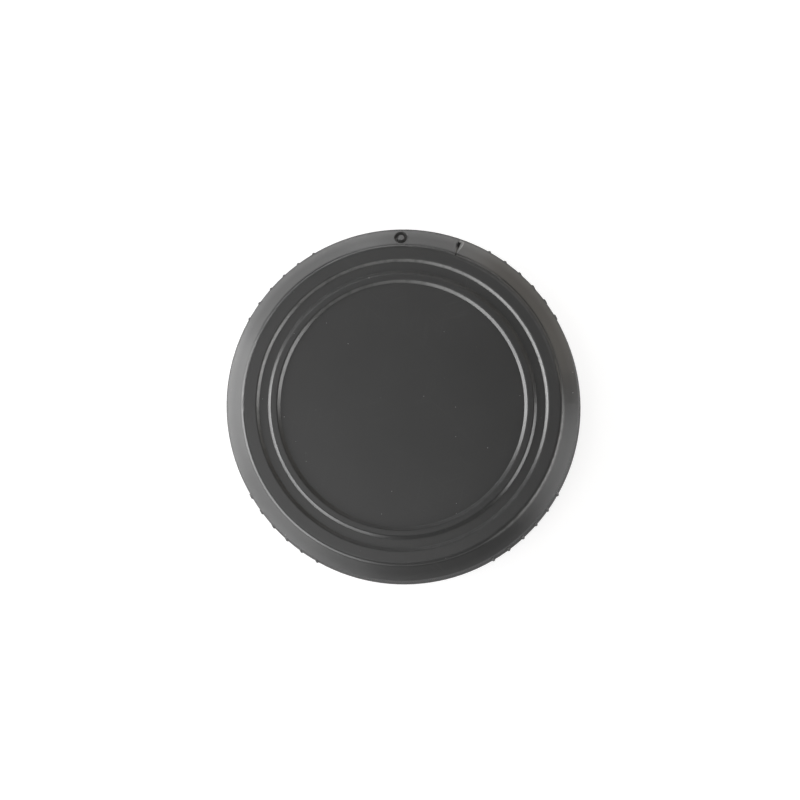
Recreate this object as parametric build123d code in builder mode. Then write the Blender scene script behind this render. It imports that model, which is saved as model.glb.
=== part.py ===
from build123d import *
import os
from math import cos, radians, sin, tan

# Bayonet cap for a large lens port, one plastic moulding. Millimetres, +Z up.
# The cap lies face up on its rim: the origin is the middle of the rim's foot and +Y points at the ring mark.
# Angles run anticlockwise from +X, seen from above the face.

# Outside
outer_diameter = 110.0
total_height = 22.0
wall_draft = 1.8
foot_break = 0.3

# Face, from the wall inwards
bevel_width = 4.8
bevel_angle = 30.0
bevel_break = 0.35
lip_rise = 0.6
lip_angle = 45.0
lip_round = 1.4
ring_width = 4.0
groove_width = 4.7
groove_depth = 0.8
ridge_width = 1.8
disc_depth = 0.88
step_angle = 38.0
step_break = 0.2

# Plate and skirt
plate_thickness = 2.4
skirt_wall = 2.5
register_step = 0.7
register_depth = 3.0

# Bayonet
twist_angle = 20.0
lug_count = 3
first_lug_angle = 270.0
lug_reach = 2.5
lug_thickness = 2.2
lug_clearance = 1.0
lug_ramp = 0.9
stop_angle = 6.0
stop_rise = 4.0

# Grip ribs
rib_radius = 0.55
rib_rise = 0.36
rib_pitch = 6.0
ribs_per_group = 6
rib_groups = 4
rib_top_gap = 0.5

# Index marks
ring_mark_angle = 90.0
ring_mark_inset = 2.65
ring_mark_diameter = 3.1
ring_mark_width = 1.3
ring_mark_depth = 0.8
bar_mark_inset = 1.7
bar_mark_depth = 1.1
bar_mark_dive = 12.5

# Radii of the face's edges
outer_radius = outer_diameter / 2
bevel_inner_radius = outer_radius - bevel_width
step_slope = tan(radians(step_angle))
ring_outer_radius = bevel_inner_radius - lip_rise / tan(radians(lip_angle))
groove_outer_radius = ring_outer_radius - ring_width
groove_inner_radius = groove_outer_radius - groove_width
disc_edge_radius = groove_inner_radius - ridge_width
groove_run = groove_depth / step_slope
disc_run = disc_depth / step_slope

# Heights of the face's levels
bevel_slope = tan(radians(bevel_angle))
bevel_top = total_height - lip_rise
wall_top = bevel_top - bevel_width * bevel_slope
groove_floor = total_height - groove_depth
disc_floor = total_height - disc_depth
foot_radius = outer_radius + wall_top * tan(radians(wall_draft))

# Inside: the plate keeps its thickness under the disc and under the bevel
plate_under = total_height - plate_thickness
disc_under = disc_floor - plate_thickness
disc_under_radius = disc_edge_radius - disc_run + plate_thickness * tan(radians(step_angle / 2))
seat_radius = outer_radius - skirt_wall
bevel_under = bevel_top - plate_thickness / cos(radians(bevel_angle))
seat_top = bevel_under - (seat_radius - bevel_inner_radius) * bevel_slope
plate_radius = bevel_inner_radius + (bevel_under - plate_under) / bevel_slope
register_radius = seat_radius + register_step

# Bayonet: a lug of the port enters between two lugs and turns clockwise over one of them, up to its stop
lug_radius = seat_radius - lug_reach
lug_foot = register_depth + lug_clearance
lug_top = lug_foot + lug_thickness
lug_angle = stop_angle + twist_angle
lug_pitch = 360 / lug_count
lug_starts = [first_lug_angle - lug_angle / 2 + lug_pitch * lug for lug in range(lug_count)]
lug_root_radius = seat_radius + skirt_wall / 2

# The marks' cutters stand clear of the bevel by half their depth
cutter_stock = 1.5

# Ribs stand in evenly spread groups, the first one midway between +X and +Y
group_angle = rib_pitch * (ribs_per_group - 1)
group_pitch = 360 / rib_groups
group_starts = [group_pitch * (group + 0.5) - group_angle / 2 for group in range(rib_groups)]
rib_foot_radius = foot_radius + rib_rise - rib_radius
rib_line = Vector(-sin(radians(wall_draft)), 0, cos(radians(wall_draft)))
rib_top_normal = Vector(sin(radians(bevel_angle)), 0, cos(radians(bevel_angle)))
rib_top = Plane((outer_radius, 0, wall_top - rib_top_gap), z_dir=rib_top_normal)


def sector(inner_radius, outer_radius, start, angle):
    """Draw a piece of a flat ring in the sketch that is open."""
    with BuildLine() as edge:
        inner = CenterArc((0, 0), inner_radius, start, angle)
        outer = CenterArc((0, 0), outer_radius, start, angle)
        Line(inner @ 0, outer @ 0)
        Line(inner @ 1, outer @ 1)
    make_face(edge.edges())


def bevel_plane(angle, inset, depth):
    """Plane below the bevel and along it: x climbs towards the cap's middle, z points out of the face."""
    out = Vector(cos(radians(angle)), sin(radians(angle)), 0)
    up = Vector(0, 0, 1)
    slope = radians(bevel_angle)
    normal = out * sin(slope) + up * cos(slope)
    surface = out * (outer_radius - inset) + up * (wall_top + inset * bevel_slope)
    return Plane(surface - normal * depth, x_dir=up * sin(slope) - out * cos(slope), z_dir=normal)


with BuildPart() as cap:
    with BuildSketch(Plane.XZ) as section:
        with BuildLine():
            Polyline(
                (0, disc_floor),
                (disc_edge_radius - disc_run, disc_floor),
                (disc_edge_radius, total_height),
                (groove_inner_radius, total_height),
                (groove_inner_radius + groove_run, groove_floor),
                (groove_outer_radius - groove_run, groove_floor),
                (groove_outer_radius, total_height),
                (ring_outer_radius, total_height),
                (bevel_inner_radius, bevel_top),
                (outer_radius, wall_top),
                (foot_radius, 0),
                (register_radius, 0),
                (register_radius, register_depth),
                (seat_radius, register_depth),
                (seat_radius, seat_top),
                (plate_radius, plate_under),
                (disc_under_radius + disc_run, plate_under),
                (disc_under_radius, disc_under),
                (0, disc_under),
                close=True,
            )
        make_face()
        crests = [disc_edge_radius, groove_inner_radius, groove_outer_radius]
        step_corners = [section.vertices().sort_by_distance((radius, total_height))[0] for radius in crests]
        chamfer(step_corners, step_break)
        chamfer(section.vertices().sort_by_distance((outer_radius, wall_top))[0], bevel_break)
        chamfer(section.vertices().sort_by_distance((foot_radius, 0))[0], foot_break)
        fillet(section.vertices().sort_by_distance((ring_outer_radius, total_height))[0], lip_round)
    revolve(axis=Axis.Z)

    # Lugs with a ramp at the end that the port's lug meets first, and a stop at the other end
    with BuildSketch(Plane.XY.offset(lug_foot)):
        for start in lug_starts:
            sector(lug_radius, lug_root_radius, start, lug_angle)
    extrude(amount=lug_thickness)
    ramp_edges = []
    for start in lug_starts:
        ramp_angle = radians(start + lug_angle)
        middle = lug_radius + lug_reach / 2
        ramp_point = (middle * cos(ramp_angle), middle * sin(ramp_angle), lug_top)
        ramp_edges.append(cap.edges().filter_by(GeomType.LINE).sort_by_distance(ramp_point)[0])
    chamfer(ramp_edges, lug_ramp)
    with BuildSketch(Plane.XY.offset(lug_foot)):
        for start in lug_starts:
            sector(lug_radius, lug_root_radius, start, stop_angle)
    extrude(amount=lug_thickness + stop_rise)

    # Grip ribs: a round rod laid along the drafted wall, its top cut to the bevel's slope, then its copies
    with BuildPart(mode=Mode.PRIVATE) as rib:
        with BuildSketch(Plane((rib_foot_radius, 0, 0), z_dir=rib_line)):
            Circle(rib_radius)
        extrude(amount=wall_top, both=True)
        split(bisect_by=Plane.XY, keep=Keep.TOP)
        split(bisect_by=rib_top, keep=Keep.BOTTOM)
    for start in group_starts:
        with PolarLocations(0, ribs_per_group, start, group_angle, endpoint=True):
            add(rib.part)

    # Ring mark: a steep V groove round a spot of the bevel
    ring_plane = bevel_plane(ring_mark_angle, ring_mark_inset, ring_mark_depth)
    ring_reach = ring_mark_depth * cutter_stock
    ring_spread = ring_mark_width / 2 * cutter_stock
    with BuildSketch(Plane(ring_plane.origin, x_dir=ring_plane.x_dir, z_dir=-ring_plane.y_dir)):
        with Locations((ring_mark_diameter / 2, 0)):
            Polygon((0, 0), (ring_spread, ring_reach), (-ring_spread, ring_reach), align=None)
    revolve(axis=Axis(ring_plane.origin, ring_plane.z_dir), mode=Mode.SUBTRACT)

    # Bar mark: a right-angled point plunges near the wall, leaves a cone there and climbs out at the lip
    bar_plane = bevel_plane(ring_mark_angle - twist_angle, bar_mark_inset, bar_mark_depth)
    bar_reach = bar_mark_depth * cutter_stock
    dive_slope = tan(radians(bar_mark_dive))
    bar_spread = bar_reach / (1 - dive_slope**2) ** 0.5
    with BuildSketch(Plane(bar_plane.origin, x_dir=bar_plane.y_dir, z_dir=bar_plane.x_dir)):
        Polygon((0, 0), (bar_spread, bar_reach), (-bar_spread, bar_reach), align=None)
    extrude(amount=bevel_width, dir=bar_plane.x_dir + bar_plane.z_dir * dive_slope, mode=Mode.SUBTRACT)
    with BuildSketch(Plane(bar_plane.origin, x_dir=bar_plane.x_dir, z_dir=-bar_plane.y_dir)):
        Polygon((0, 0), (bar_reach, bar_reach), (0, bar_reach), align=None)
    revolve(axis=Axis(bar_plane.origin, bar_plane.z_dir), mode=Mode.SUBTRACT)

cap.part.label = "cap"
os.makedirs("parts", exist_ok=True)
export_step(cap.part, "parts/cap.step")
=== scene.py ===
from math import cos, radians, sin

import bpy
from mathutils import Matrix, Vector

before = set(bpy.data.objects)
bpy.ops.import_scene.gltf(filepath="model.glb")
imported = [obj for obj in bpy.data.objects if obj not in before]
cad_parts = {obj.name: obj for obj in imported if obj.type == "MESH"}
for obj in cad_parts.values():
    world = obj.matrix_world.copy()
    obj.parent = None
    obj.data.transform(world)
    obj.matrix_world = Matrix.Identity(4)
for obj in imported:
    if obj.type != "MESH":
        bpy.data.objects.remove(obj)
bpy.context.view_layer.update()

# Lengths are in metres. Azimuths are in degrees, clockwise from +Y, seen from above the face.
# A pair of numbers in brackets is a span, across which a mask goes from none to full or back.
# Where two more numbers follow a span, they are what a value goes from and to across it.
# A side of the cap is an azimuth and a span of the cosine of the angle to it.

# The cap seen from above, its wall with the ribs, the bevel and the inside
flattened = (1.0, 1.0, 0.0)
cap_radius = 0.055
wall_radius = (0.0548, 0.0550)
wall_top_height = 0.01863
wall_draft_slope = 0.0314
rib_rise = (0.0001, 0.0003)
rib_top_height = (0.01798, 0.01806)
bevel_slope = 0.577
inside_cone_radius = 0.0490
inside_cone_top = (0.0202, 0.0204)

# Painted highlight on the outer half of the bevel, strongest at the back and weakest on its corner
bevel_edge = (0.0522, 0.0546)
bevel_corner = ((0.0546, 0.0548), 1.0, 0.4)
bevel_highlight_side = (-10.0, (-0.40, 1.00), 0.3, 1.0)
bevel_highlight_patches = ((0.3, 0.7), 0.8, 1.0)

# Slopes of the face's steps and of the lip: the middle of each from the cap's axis, how much painted shade
# it takes, and the side where it takes a painted highlight
slopes = {
    "disc_rim": (0.0386, 1.0, (-25.0, (0.10, 0.80), 0.0, 0.70)),
    "groove_inner_wall": (0.0414, 1.0, (0.0, (-0.20, 0.50), 0.0, 0.20)),
    "groove_outer_wall": (0.0451, 1.0, (0.0, (-0.50, 0.20), 0.0, 1.00)),
    "lip_crest": (0.0490, 0.0, (48.0, (0.80, 0.97), 0.0, 0.35)),
    "lip": (0.0501, 0.6, (116.0, (0.80, 0.97), 0.0, 1.00)),
}
slope_reach = (0.0002, 0.0007)
# Patches of the slopes' painted highlight
slope_highlight_patches = ((0.35, 0.60), 0.6, 1.0)

# Ring mark: its middle, how far the groove's edges are from it, where a painted highlight lies in the
# groove, and how strong the painted shade in it is
ring_mark = (0.0, 0.05235, 0.02016)
ring_groove_inner = (0.0009, 0.0011)
ring_groove_outer = (0.0020, 0.0022)
ring_lit_sides = (0.0005, 0.0014)
ring_lit_low = ((0.0515, 0.0529), 1.0, 0.3)
ring_least_lit = 0.3
ring_highlight_strength = 0.22
ring_shade_strength = 0.7

# Bar mark along its line on the bevel, from the cap's axis, with half its width where it widens
bar_azimuth = 20.0
bar_widening = ((0.0502, 0.0533), 0.00031, 0.0011)
bar_first = (0.0500, 0.0506)
bar_last = (0.0544, 0.0546)
bar_tip = (0.0537, 0.0540)
# Where the painted shade in the bar's deep end begins
bar_shade_start = (0.0520, 0.0528)
# Painted highlight on the bar's flank and shallow end, along its line
bar_flank_strength = ((0.0511, 0.0524), 0.45, 1.0)
bar_shallow_strength = ((0.0511, 0.0524), 0.5, 0.0)

# Bar mark across its line, in halves of its width there
bar_left_edge = (-1.15, -0.95)
bar_right_edge = (0.95, 1.15)
# Where the painted highlight lies across the bar's line
bar_flank_side = (0.05, 0.30)
bar_tip_side = (-0.6, -0.1)
# Painted shade in the bar's deep end, across its line
bar_shade_left = (-0.9, -0.5)
bar_shade_right = (0.05, 0.25)
bar_patches = ((0.25, 0.60), 0.7, 1.0)

# Flecks of dust: one draw picks the cells of a scattered grid that hold one, another its size in cells
fleck_cells = 300.0
fleck_rarity = 0.92
fleck_sizes = ((0.2, 1.0), 0.006, 0.036)
fleck_rim = (0.7, 1.2)
fleck_noise = {"Scale": 6000.0, "Detail": 1.0}
fleck_noise_middle = (0.5, 0.5, 0.5)
fleck_ragged = (0.00025, 0.00025, 0.00025)
dust_strength = 0.8
dust_height = 0.00003

# Hairline scratches: the turn of each run in degrees, and the shift that makes it unlike the others
hairline_runs = ((12.0, 0.0), (74.0, 5.0), (131.0, 9.0))
hairline_scale = (4200.0, 60.0, 1.0)
hairline_noise = {"Scale": 1.0, "Detail": 0.0}
hairline_share = (0.70, 0.80)
hairline_patches = (0.40, 0.60)
hairline_strength = 0.20

# Noise at the scale of a thumb, of a smear and of the mould's grain
blotch_noise = {"Scale": 45.0, "Detail": 3.0}
smear_noise = {"Scale": 400.0, "Detail": 3.0, "Roughness": 0.6}
grain_noise = {"Scale": 2600.0, "Detail": 2.0}

# Plastic: colours, and how faded it is in blotches and outside the disc
plastic_dark = (0.028, 0.028, 0.028, 1.0)
plastic_light = (0.036, 0.036, 0.036, 1.0)
# Painted shade on the step slopes
slope_shade_colour = (0.018, 0.018, 0.018, 1.0)
# Painted shade in the ring groove and the bar's deep end
recess_shade_colour = (0.008, 0.008, 0.008, 1.0)
# Painted highlight on the outer half of the bevel
bevel_highlight_colour = (0.075, 0.075, 0.075, 1.0)
# Painted highlight on one side of each slope
slope_highlight_colour = (0.100, 0.100, 0.098, 1.0)
# Painted highlight on the rib crests
rib_highlight_colour = (0.100, 0.100, 0.098, 1.0)
scratch_colour = (0.060, 0.060, 0.060, 1.0)
dust_colour = (0.300, 0.300, 0.290, 1.0)
# Painted highlight on the bar mark and in the ring groove
mark_highlight_colour = (0.300, 0.300, 0.295, 1.0)
blotch_fading = 0.5
flats_fading = ((0.0395, 0.0415), 0.0, 0.5)
# Patches of the painted highlight on the rib crests
rib_highlight_patches = ((0.35, 0.65), 0.3, 1.0)

# Roughness of the satin face, and what the grain and the marks of use add to it
plastic_ior = 1.5
satin_roughness = ((0.3, 0.7), 0.288, 0.302)
smear_roughness = ((0.3, 0.7), -0.005, 0.005)
inside_roughness = 0.22
wall_roughness = 0.60
marked_roughness = 0.12
# Roughness added where the marks carry a painted highlight
mark_highlight_roughness = 0.35
sunk_roughness = 0.55

# Relief: depth of the grain, and the small round on sharp edges
face_grain = 0.00001
wall_grain = 0.00005
edge_round = 0.00012
edge_samples = 6

# Camera: far off, almost straight above the face
aim_height = 0.0187
camera_distance = 1.65
camera_lean = Vector((0.0268, -0.0503, 1.0))
camera_aim = Vector((-0.00081, 0.00165, aim_height))
camera_roll = radians(0.455)
camera_reach = 20.0
sensor_width = 36.0
picture_width = 800
cap_radius_in_picture = 176.4

# Softboxes: azimuth, elevation in degrees, width, height and power in watts
softboxes = {
    "front": (168.0, 18.0, 0.63, 0.13, 0.20),
    "front_left_edge": (204.0, 12.0, 0.21, 0.25, 0.78),
    "front_left": (230.0, 12.0, 0.34, 0.25, 2.45),
    "left": (264.0, 12.0, 0.34, 0.25, 3.10),
    "left_edge": (286.0, 12.0, 0.17, 0.25, 1.05),
    "right": (108.0, 15.0, 0.42, 0.21, 2.20),
    "back_left": (318.0, 30.0, 0.63, 0.13, 1.75),
    "back": (6.0, 29.0, 0.38, 0.13, 0.76),
    "back_right": (50.0, 31.0, 0.54, 0.13, 0.68),
    "above_front": (225.0, 75.0, 0.24, 0.19, 0.38),
    "above_back": (315.0, 75.0, 0.24, 0.19, 0.10),
}
softbox_distance = 0.60
warm_softboxes = ("back_right",)
warm_light = (1.0, 0.92, 0.82)

# Floor and surroundings: what the cap mirrors of them is dim behind it, and on the floor also close to it,
# except on its bright side
floor_size = 8.0
floor_colour = (0.4, 0.4, 0.4, 1.0)
floor_glow = 0.74
floor_shade = (0.058, 0.150)
bright_side = (95.0, (0.75, 0.95))
dark_side = (5.0, (0.42, 0.75), 1.0, 0.1)
horizon = (0.08, 0.16)
sky_grey = 0.03
sky_colour = (1.0, 1.0, 1.0, 1.0)


def place(tree, kind, inputs, **options):
    """Add a node, set its options, and give each input a value or a link."""
    node = tree.nodes.new("ShaderNode" + kind)
    for option, value in options.items():
        setattr(node, option, value)
    for socket, value in inputs.items():
        if isinstance(value, bpy.types.NodeSocket):
            tree.links.new(value, node.inputs[socket])
        else:
            node.inputs[socket].default_value = value
    return node


def combine(tree, operation, result, *others):
    """Take a value and one or more others through Math nodes of one kind."""
    for other in others:
        result = place(tree, "Math", {0: result, 1: other}, operation=operation).outputs["Value"]
    return result


def product(tree, *masks):
    return combine(tree, "MULTIPLY", *masks)


def largest(tree, *masks):
    return combine(tree, "MAXIMUM", *masks)


def rest_of(tree, mask):
    return combine(tree, "SUBTRACT", 1.0, mask)


def gap(tree, first, second):
    """How far apart two values are."""
    difference = combine(tree, "SUBTRACT", first, second)
    return place(tree, "Math", {0: difference}, operation="ABSOLUTE").outputs["Value"]


def vector(tree, operation, *points, result="Vector"):
    return place(tree, "VectorMath", dict(enumerate(points)), operation=operation).outputs[result]


def turn(tree, point, angle):
    """Turn a point round the cap's axis."""
    settings = {"Vector": point, "Angle": radians(angle)}
    return place(tree, "VectorRotate", settings, rotation_type="Z_AXIS").outputs["Vector"]


def noise(tree, point, settings, result="Fac"):
    return place(tree, "TexNoise", {"Vector": point, **settings}).outputs[result]


def ramp(tree, value, span, low=0.0, high=1.0, course="SMOOTHSTEP"):
    """Go from low to high while the value crosses the span."""
    limits = {"Value": value, "From Min": span[0], "From Max": span[1], "To Min": low, "To Max": high}
    return place(tree, "MapRange", limits, interpolation_type=course).outputs["Result"]


def fall(tree, value, span):
    """Go from one to zero while the value crosses the span."""
    return ramp(tree, value, span, 1.0, 0.0)


def between(tree, value, first, last):
    """Rise across the first span and fall across the last."""
    return product(tree, ramp(tree, value, first), fall(tree, value, last))


def towards(tree, outwards, azimuth, spread, low=0.0, high=1.0):
    """Go from low to high as a level direction turns to an azimuth."""
    aim = (sin(radians(azimuth)), cos(radians(azimuth)), 0.0)
    return ramp(tree, vector(tree, "DOT_PRODUCT", outwards, aim, result="Value"), spread, low, high)


def tint(tree, under, over, mask):
    """Lay one colour over another where the mask is."""
    layer = {"Factor": mask, "A": under, "B": over}
    return place(tree, "Mix", layer, data_type="RGBA").outputs["Result"]


def add_camera():
    back = camera_lean.normalized()
    up = Vector((sin(camera_roll), cos(camera_roll), 0.0))
    right = up.cross(back).normalized()
    facing = Matrix((right, back.cross(right), back)).transposed()
    bpy.ops.object.camera_add(location=camera_aim + back * camera_distance, rotation=facing.to_euler())
    camera = bpy.context.object
    focal_pixels = cap_radius_in_picture * camera_distance / cap_radius
    camera.data.sensor_width = sensor_width
    camera.data.lens = focal_pixels * sensor_width / picture_width
    camera.data.clip_end = camera_reach
    bpy.context.scene.camera = camera


def add_softbox(name, azimuth, elevation, width, height, power):
    bearing = radians(azimuth)
    rise = radians(elevation)
    outwards = Vector((sin(bearing) * cos(rise), cos(bearing) * cos(rise), sin(rise)))
    centre = Vector((0.0, 0.0, aim_height)) + outwards * softbox_distance
    facing = outwards.to_track_quat("Z", "Y").to_euler()
    bpy.ops.object.light_add(type="AREA", location=centre, rotation=facing)
    lamp = bpy.context.object
    lamp.name = "softbox_" + name
    lamp.visible_camera = False
    lamp.data.shape = "RECTANGLE"
    lamp.data.size = width
    lamp.data.size_y = height
    lamp.data.energy = power
    if name in warm_softboxes:
        lamp.data.color = warm_light


def add_floor():
    """Matt table top that the camera, and gloss on the cap, see as white."""
    bpy.ops.mesh.primitive_plane_add(size=floor_size)
    floor = bpy.context.object
    floor.name = "floor"
    material = bpy.data.materials.new("white_table")
    material.use_nodes = True
    tree = material.node_tree
    tree.nodes.clear()
    point = place(tree, "TexCoord", {}).outputs["Object"]
    from_cap = vector(tree, "LENGTH", point, result="Value")
    outwards = vector(tree, "NORMALIZE", point)
    lit = largest(tree, ramp(tree, from_cap, floor_shade), towards(tree, outwards, *bright_side))
    path = place(tree, "LightPath", {}).outputs
    mirrored = largest(tree, path["Is Glossy Ray"], path["Is Transmission Ray"])
    mirrored = product(tree, mirrored, lit, towards(tree, outwards, *dark_side))
    seen = largest(tree, path["Is Camera Ray"], mirrored)
    matt = place(tree, "BsdfDiffuse", {"Color": floor_colour})
    glow = place(tree, "Emission", {"Strength": product(tree, seen, floor_glow)})
    both = place(tree, "AddShader", {0: matt.outputs["BSDF"], 1: glow.outputs["Emission"]})
    place(tree, "OutputMaterial", {"Surface": both.outputs["Shader"]})
    floor.data.materials.append(material)


def add_world():
    """Dim grey overhead and white round the horizon, but for the dark side behind the cap."""
    world = bpy.data.worlds.new("studio")
    world.use_nodes = True
    tree = world.node_tree
    background = tree.nodes["Background"]
    direction = place(tree, "TexCoord", {}).outputs["Generated"]
    height = place(tree, "SeparateXYZ", {"Vector": direction}).outputs["Z"]
    level = ramp(tree, height, horizon, towards(tree, direction, *dark_side), sky_grey)
    tree.links.new(level, background.inputs["Strength"])
    background.inputs["Color"].default_value = sky_colour
    bpy.context.scene.world = world


def wall_and_inside(tree, radius, height):
    """The outer wall with its ribs, below the bevel, and the inside, below a cone under the face."""
    past_edge = combine(tree, "SUBTRACT", radius, cap_radius)
    bevel_height = combine(tree, "ADD", height, product(tree, past_edge, bevel_slope))
    wall = product(tree, ramp(tree, radius, wall_radius), fall(tree, bevel_height, rib_top_height))
    past_cone = largest(tree, combine(tree, "SUBTRACT", radius, inside_cone_radius), 0.0)
    cone_height = combine(tree, "ADD", height, product(tree, past_cone, bevel_slope))
    inside = product(tree, fall(tree, cone_height, inside_cone_top), rest_of(tree, wall))
    return wall, inside


def rib_crests(tree, radius, height):
    """What stands out from the leaning wall."""
    below_top = largest(tree, combine(tree, "SUBTRACT", wall_top_height, height), 0.0)
    lean = product(tree, below_top, wall_draft_slope)
    return ramp(tree, combine(tree, "SUBTRACT", radius, cap_radius, lean), rib_rise)


def face_dust(tree, flat_point):
    """Tiny pale flecks of uneven size and shape, each in its own cell of a scattered grid."""
    wobble = noise(tree, flat_point, fleck_noise, "Color")
    wobble = vector(tree, "SUBTRACT", wobble, fleck_noise_middle)
    ragged = vector(tree, "MULTIPLY_ADD", wobble, fleck_ragged, flat_point)
    cells = place(tree, "TexVoronoi", {"Vector": ragged, "Scale": fleck_cells}, voronoi_dimensions="2D")
    draw = place(tree, "SeparateColor", {"Color": cells.outputs["Color"]}).outputs
    size = ramp(tree, draw["Green"], *fleck_sizes)
    spot = fall(tree, combine(tree, "DIVIDE", cells.outputs["Distance"], size), fleck_rim)
    return product(tree, spot, combine(tree, "GREATER_THAN", draw["Red"], fleck_rarity))


def hairlines(tree, flat_point, angle, shift):
    """Fine straight scratches that all run about one way."""
    turned = turn(tree, flat_point, angle)
    drawn = vector(tree, "MULTIPLY_ADD", turned, hairline_scale, (shift, shift, 0.0))
    return ramp(tree, noise(tree, drawn, hairline_noise), hairline_share)


def step_slopes(tree, outwards, radius, smear):
    """Painted shade on the slopes, and a painted highlight on one side of each, in patches."""
    slope_shade = []
    slope_highlight = []
    # The second number of each slope is its share of painted shade; the side is where its painted highlight
    # lies
    for middle, black, lit_side in slopes.values():
        band = fall(tree, gap(tree, radius, middle), slope_reach)
        slope_shade.append(product(tree, band, black))
        slope_highlight.append(product(tree, band, towards(tree, outwards, *lit_side)))
    patches = ramp(tree, smear, *slope_highlight_patches)
    return largest(tree, *slope_shade), product(tree, largest(tree, *slope_highlight), patches)


def ring_groove(tree, point):
    """The ring mark's groove, and a painted highlight in it on both sides and towards the cap's middle."""
    from_middle = vector(tree, "DISTANCE", point, ring_mark, result="Value")
    groove = between(tree, from_middle, ring_groove_inner, ring_groove_outer)
    position = place(tree, "SeparateXYZ", {"Vector": point}).outputs
    # Painted highlight on the groove's sides and towards the cap's middle
    sides = ramp(tree, gap(tree, position["X"], 0.0), ring_lit_sides)
    low = ramp(tree, position["Y"], *ring_lit_low)
    dust_and_groove_light = largest(tree, product(tree, sides, low), ring_least_lit)
    return groove, product(tree, groove, dust_and_groove_light, ring_highlight_strength)


def bar_highlight_and_shade(tree, point, smear):
    """Painted highlight on the bar mark's flank, tip and shallow end, in patches, and painted shade in its
    deep end.
    """
    position = place(tree, "SeparateXYZ", {"Vector": turn(tree, point, bar_azimuth)}).outputs
    along = position["Y"]
    half_width = ramp(tree, along, *bar_widening, course="LINEAR")
    side = combine(tree, "DIVIDE", position["X"], half_width)
    flank = product(tree, ramp(tree, side, bar_flank_side), ramp(tree, along, *bar_flank_strength))
    tip = product(tree, ramp(tree, along, bar_tip), ramp(tree, side, bar_tip_side))
    shallow = product(tree, ramp(tree, along, *bar_shallow_strength), ramp(tree, side, bar_left_edge))
    mark = product(tree, fall(tree, side, bar_right_edge), between(tree, along, bar_first, bar_last))
    light = product(tree, largest(tree, flank, tip, shallow), mark, ramp(tree, smear, *bar_patches))
    bar_shade = between(tree, side, bar_shade_left, bar_shade_right)
    return light, product(tree, bar_shade, between(tree, along, bar_shade_start, bar_tip))


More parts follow.
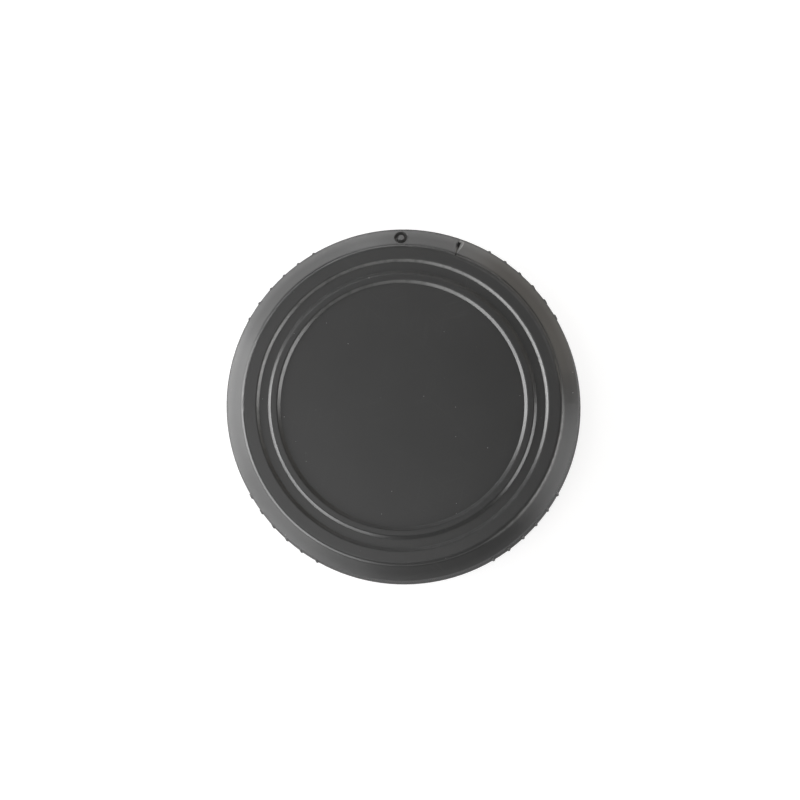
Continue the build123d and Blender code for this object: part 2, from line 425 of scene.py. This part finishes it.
def black_plastic():
    """Satin black moulding: smooth face, grained wall and inside, painted shade on the slopes and in the
    marks' recesses, painted highlights on the slopes, bevel, ribs and marks, marks of use.
    """
    material = bpy.data.materials.new("black_plastic")
    material.use_nodes = True
    tree = material.node_tree
    shader = tree.nodes["Principled BSDF"]
    shader.inputs["IOR"].default_value = plastic_ior

    # Where a point is on the cap
    point = place(tree, "TexCoord", {}).outputs["Object"]
    flat_point = vector(tree, "MULTIPLY", point, flattened)
    radius = vector(tree, "LENGTH", flat_point, result="Value")
    outwards = vector(tree, "NORMALIZE", flat_point)
    height = place(tree, "SeparateXYZ", {"Vector": point}).outputs["Z"]
    wall, inside = wall_and_inside(tree, radius, height)
    grained = largest(tree, wall, inside)
    face = rest_of(tree, grained)

    # Marks of use, and painted highlights and shade
    blotch = noise(tree, point, blotch_noise)
    smear = noise(tree, point, smear_noise)
    dust_and_groove_light = product(tree, face_dust(tree, flat_point), face)
    scratches = largest(tree, *(hairlines(tree, flat_point, *run) for run in hairline_runs))
    scratches = product(tree, scratches, face, ramp(tree, blotch, hairline_patches))
    # Painted shade on the step slopes, and a painted highlight on one side of each
    slope_shade, slope_highlight = step_slopes(tree, outwards, radius, smear)
    groove, groove_highlight = ring_groove(tree, point)
    bar_highlight, bar_shade_mask = bar_highlight_and_shade(tree, point, smear)
    # Painted highlight on the bar mark and in the ring groove
    mark_highlight = product(tree, largest(tree, bar_highlight, groove_highlight), face)
    # Painted shade in the bar's deep end
    bar_shade = product(tree, bar_shade_mask, face)
    # Painted highlight on the bevel's outer half, strongest at the back, in patches
    corner = ramp(tree, radius, *bevel_corner)
    bevel_lit_side = towards(tree, outwards, *bevel_highlight_side)
    bevel_lit_patches = ramp(tree, smear, *bevel_highlight_patches)
    bevel_lit_share = product(tree, corner, bevel_lit_side, bevel_lit_patches)
    bevel_highlight = product(tree, ramp(tree, radius, bevel_edge), bevel_lit_share, rest_of(tree, mark_highlight))
    # Painted highlight on the rib crests, in patches
    ribs = product(tree, rib_crests(tree, radius, height), ramp(tree, smear, *rib_highlight_patches))

    # Colour: the plain plastic, and what lies over it, from the lowest layer to the top one
    outside_disc = ramp(tree, radius, *flats_fading)
    faded = combine(tree, "ADD", product(tree, blotch, blotch_fading), outside_disc)
    colour = tint(tree, plastic_dark, plastic_light, faded)
    # Layers of painted shade: on the slopes and in the marks' recesses; layers of painted highlights: on the
    # bevel, the slopes, the ribs and the marks
    layers = (
        (bevel_highlight_colour, product(tree, bevel_highlight, face)),
        (slope_shade_colour, product(tree, slope_shade, face)),
        (slope_highlight_colour, product(tree, slope_highlight, face)),
        (scratch_colour, product(tree, scratches, hairline_strength)),
        (dust_colour, product(tree, dust_and_groove_light, dust_strength)),
        (rib_highlight_colour, ribs),
        # Painted shade in the ring groove and the bar's deep end
        (recess_shade_colour, largest(tree, bar_shade, product(tree, groove, ring_shade_strength))),
        (mark_highlight_colour, mark_highlight),
    )
    for layer_colour, mask in layers:
        colour = tint(tree, colour, layer_colour, mask)
    tree.links.new(colour, shader.inputs["Base Color"])

    # Roughness
    satin = combine(tree, "ADD", ramp(tree, blotch, *satin_roughness), ramp(tree, smear, *smear_roughness))
    grain_dulls = (product(tree, inside, inside_roughness), product(tree, wall, wall_roughness))
    marks_dull = product(tree, largest(tree, scratches, dust_and_groove_light), marked_roughness)
    sunk = product(tree, largest(tree, groove, bar_shade), sunk_roughness)
    highlight_and_shade_dulls = largest(tree, product(tree, mark_highlight, mark_highlight_roughness), sunk)
    roughness = combine(tree, "ADD", satin, *grain_dulls, marks_dull, highlight_and_shade_dulls)
    tree.links.new(roughness, shader.inputs["Roughness"])

    # Relief
    grain_depth = place(tree, "Mix", {"Factor": grained, "A": face_grain, "B": wall_grain}).outputs["Result"]
    grain = product(tree, noise(tree, point, grain_noise), grain_depth)
    relief = combine(tree, "ADD", grain, product(tree, dust_and_groove_light, dust_height))
    rounded = place(tree, "Bevel", {"Radius": edge_round}, samples=edge_samples).outputs["Normal"]
    bump = place(tree, "Bump", {"Height": relief, "Distance": 1.0, "Strength": 1.0, "Normal": rounded})
    tree.links.new(bump.outputs["Normal"], shader.inputs["Normal"])
    return material


bpy.context.scene.view_settings.view_transform = "Standard"
bpy.ops.object.select_all(action="DESELECT")
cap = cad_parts["cap"]
cap.data.materials.clear()
cap.data.materials.append(black_plastic())
add_camera()
add_world()
add_floor()
for name, settings in softboxes.items():
    add_softbox(name, *settings)
